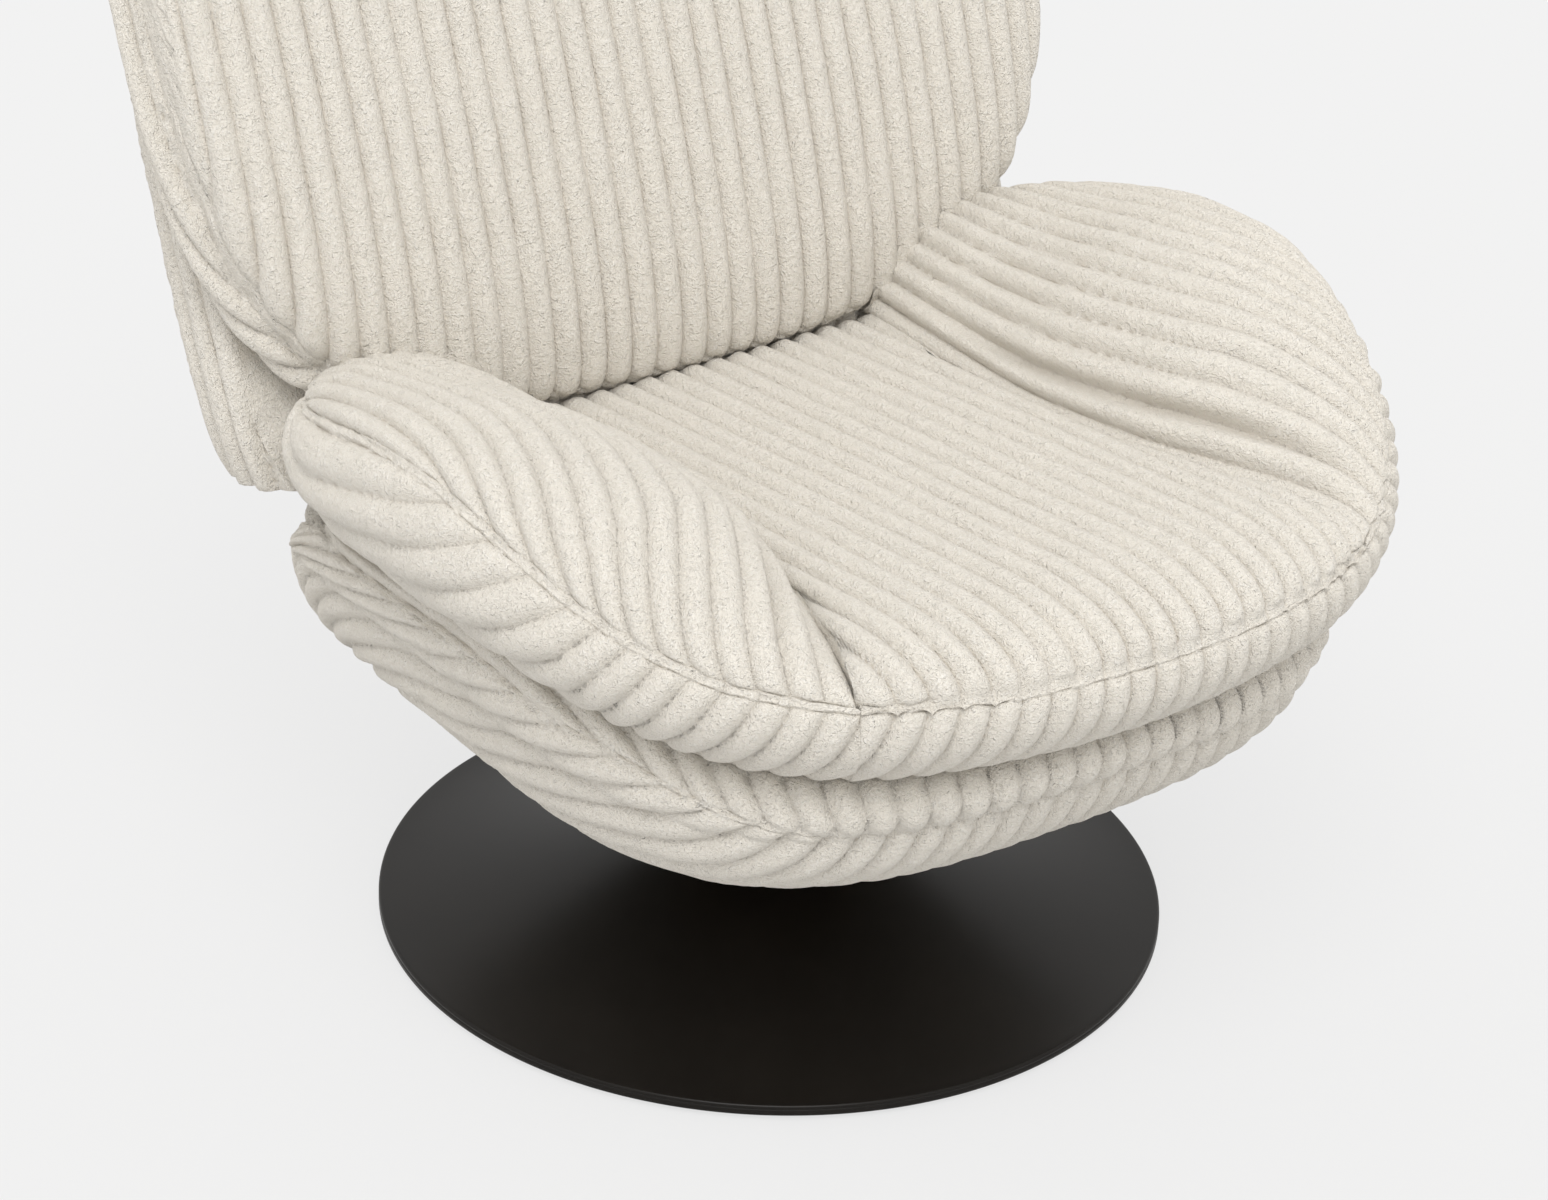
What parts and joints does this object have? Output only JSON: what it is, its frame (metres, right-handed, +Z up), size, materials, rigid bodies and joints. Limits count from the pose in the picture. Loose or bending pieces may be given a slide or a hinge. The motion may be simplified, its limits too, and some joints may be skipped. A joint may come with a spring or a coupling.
{
  "type": "accent chair",
  "caption": "Low swivel lounge chair in ribbed plush, with a deep padded seat, puffy curved arms, a reclined rounded back and a dark spun round base.",
  "frame": {"origin": "on the floor, on the axis the chair swivels about, under the middle of the round base", "axes": "+Z up, -Y towards the front of the seat, +X towards the chair's left arm as seen by a sitter, that is the right side in a view from the front"},
  "size_m": [0.7384, 0.838, 0.865],
  "materials": {
    "cover_fabric": "ribbed short-pile plush",
    "base_paint": "satin dark powder coat",
    "steel": "zinc plated",
    "frame_paint": "matt black paint",
    "plywood": "raw plywood",
    "bush_plastic": "bearing nylon",
    "webbing": "woven elastic webbing",
    "felt": "needled felt",
    "pad_rubber": "matt"
  },
  "bodies": {
    "base": {"base_cover": "base_paint", "base_plate": "base_paint", "floor_pad": "pad_rubber", "column_flange": "steel", "flange_screws": "steel", "column_tube": "base_paint", "lower_bush": "bush_plastic", "upper_bush": "bush_plastic", "thrust_washer": "steel"},
    "seat": {"spindle": "steel", "retaining_ring": "steel", "swivel_plate": "base_paint", "plate_bolts": "steel", "plate_washers": "steel", "tee_nuts": "steel", "hub_spacer": "plywood", "seat_board": "plywood", "frame_feet": "frame_paint", "foot_screws": "steel", "seat_frame": "frame_paint", "seat_clips": "steel", "seat_straps": "webbing", "seat_felt": "felt", "seat_cushion": "cover_fabric", "arm_cushion_left": "cover_fabric", "arm_cushion_right": "cover_fabric", "seat_shell": "cover_fabric", "back_brackets": "frame_paint", "bracket_bolts": "steel", "bracket_nuts": "steel", "back_frame": "frame_paint", "back_clips": "steel", "back_straps": "webbing", "back_felt": "felt", "back_cushion": "cover_fabric", "back_shell": "cover_fabric"}
  },
  "joints": [
    {"name": "seat_swivel", "type": "hinge", "parent": "base", "child": "seat", "pos_m": [0, 0, 0], "axis": [0, 0, 1], "continuous": true}
  ]
}
